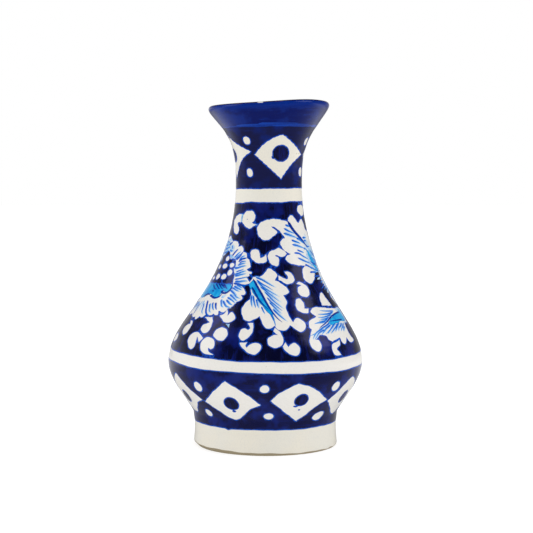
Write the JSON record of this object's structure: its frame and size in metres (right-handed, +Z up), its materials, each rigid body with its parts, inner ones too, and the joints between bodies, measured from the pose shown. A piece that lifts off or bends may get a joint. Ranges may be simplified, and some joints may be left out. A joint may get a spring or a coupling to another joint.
{
  "type": "painted pottery vase",
  "caption": "Pear-bodied pottery vase with a straight foot, a slender neck and a flared trumpet lip, painted in cobalt and turquoise on white glaze.",
  "frame": {"origin": "centre of the resting face, in the plane the vase stands on", "axes": "+Z up through the mouth, -Y towards the painted side with a whole leaf in the middle, +X towards the high side of the lip"},
  "size_m": [0.116, 0.116, 0.2047],
  "materials": {
    "white_glaze": "glossy clear glaze over white slip, with the resting edge rubbed bare",
    "cobalt_glaze": "glossy clear glaze over dark cobalt brushwork, with white and turquoise motifs",
    "rim_glaze": "glossy clear glaze over streaky cobalt",
    "joint_slip": "matt fired clay slip"
  },
  "bodies": {
    "root": {"foot_ring": "white_glaze", "foot_joint_slip": "joint_slip", "lower_bowl": "cobalt_glaze", "belt_joint_slip": "joint_slip", "shoulder": "cobalt_glaze", "collar_joint_slip": "joint_slip", "neck_and_lip": "rim_glaze"}
  },
  "joints": []
}
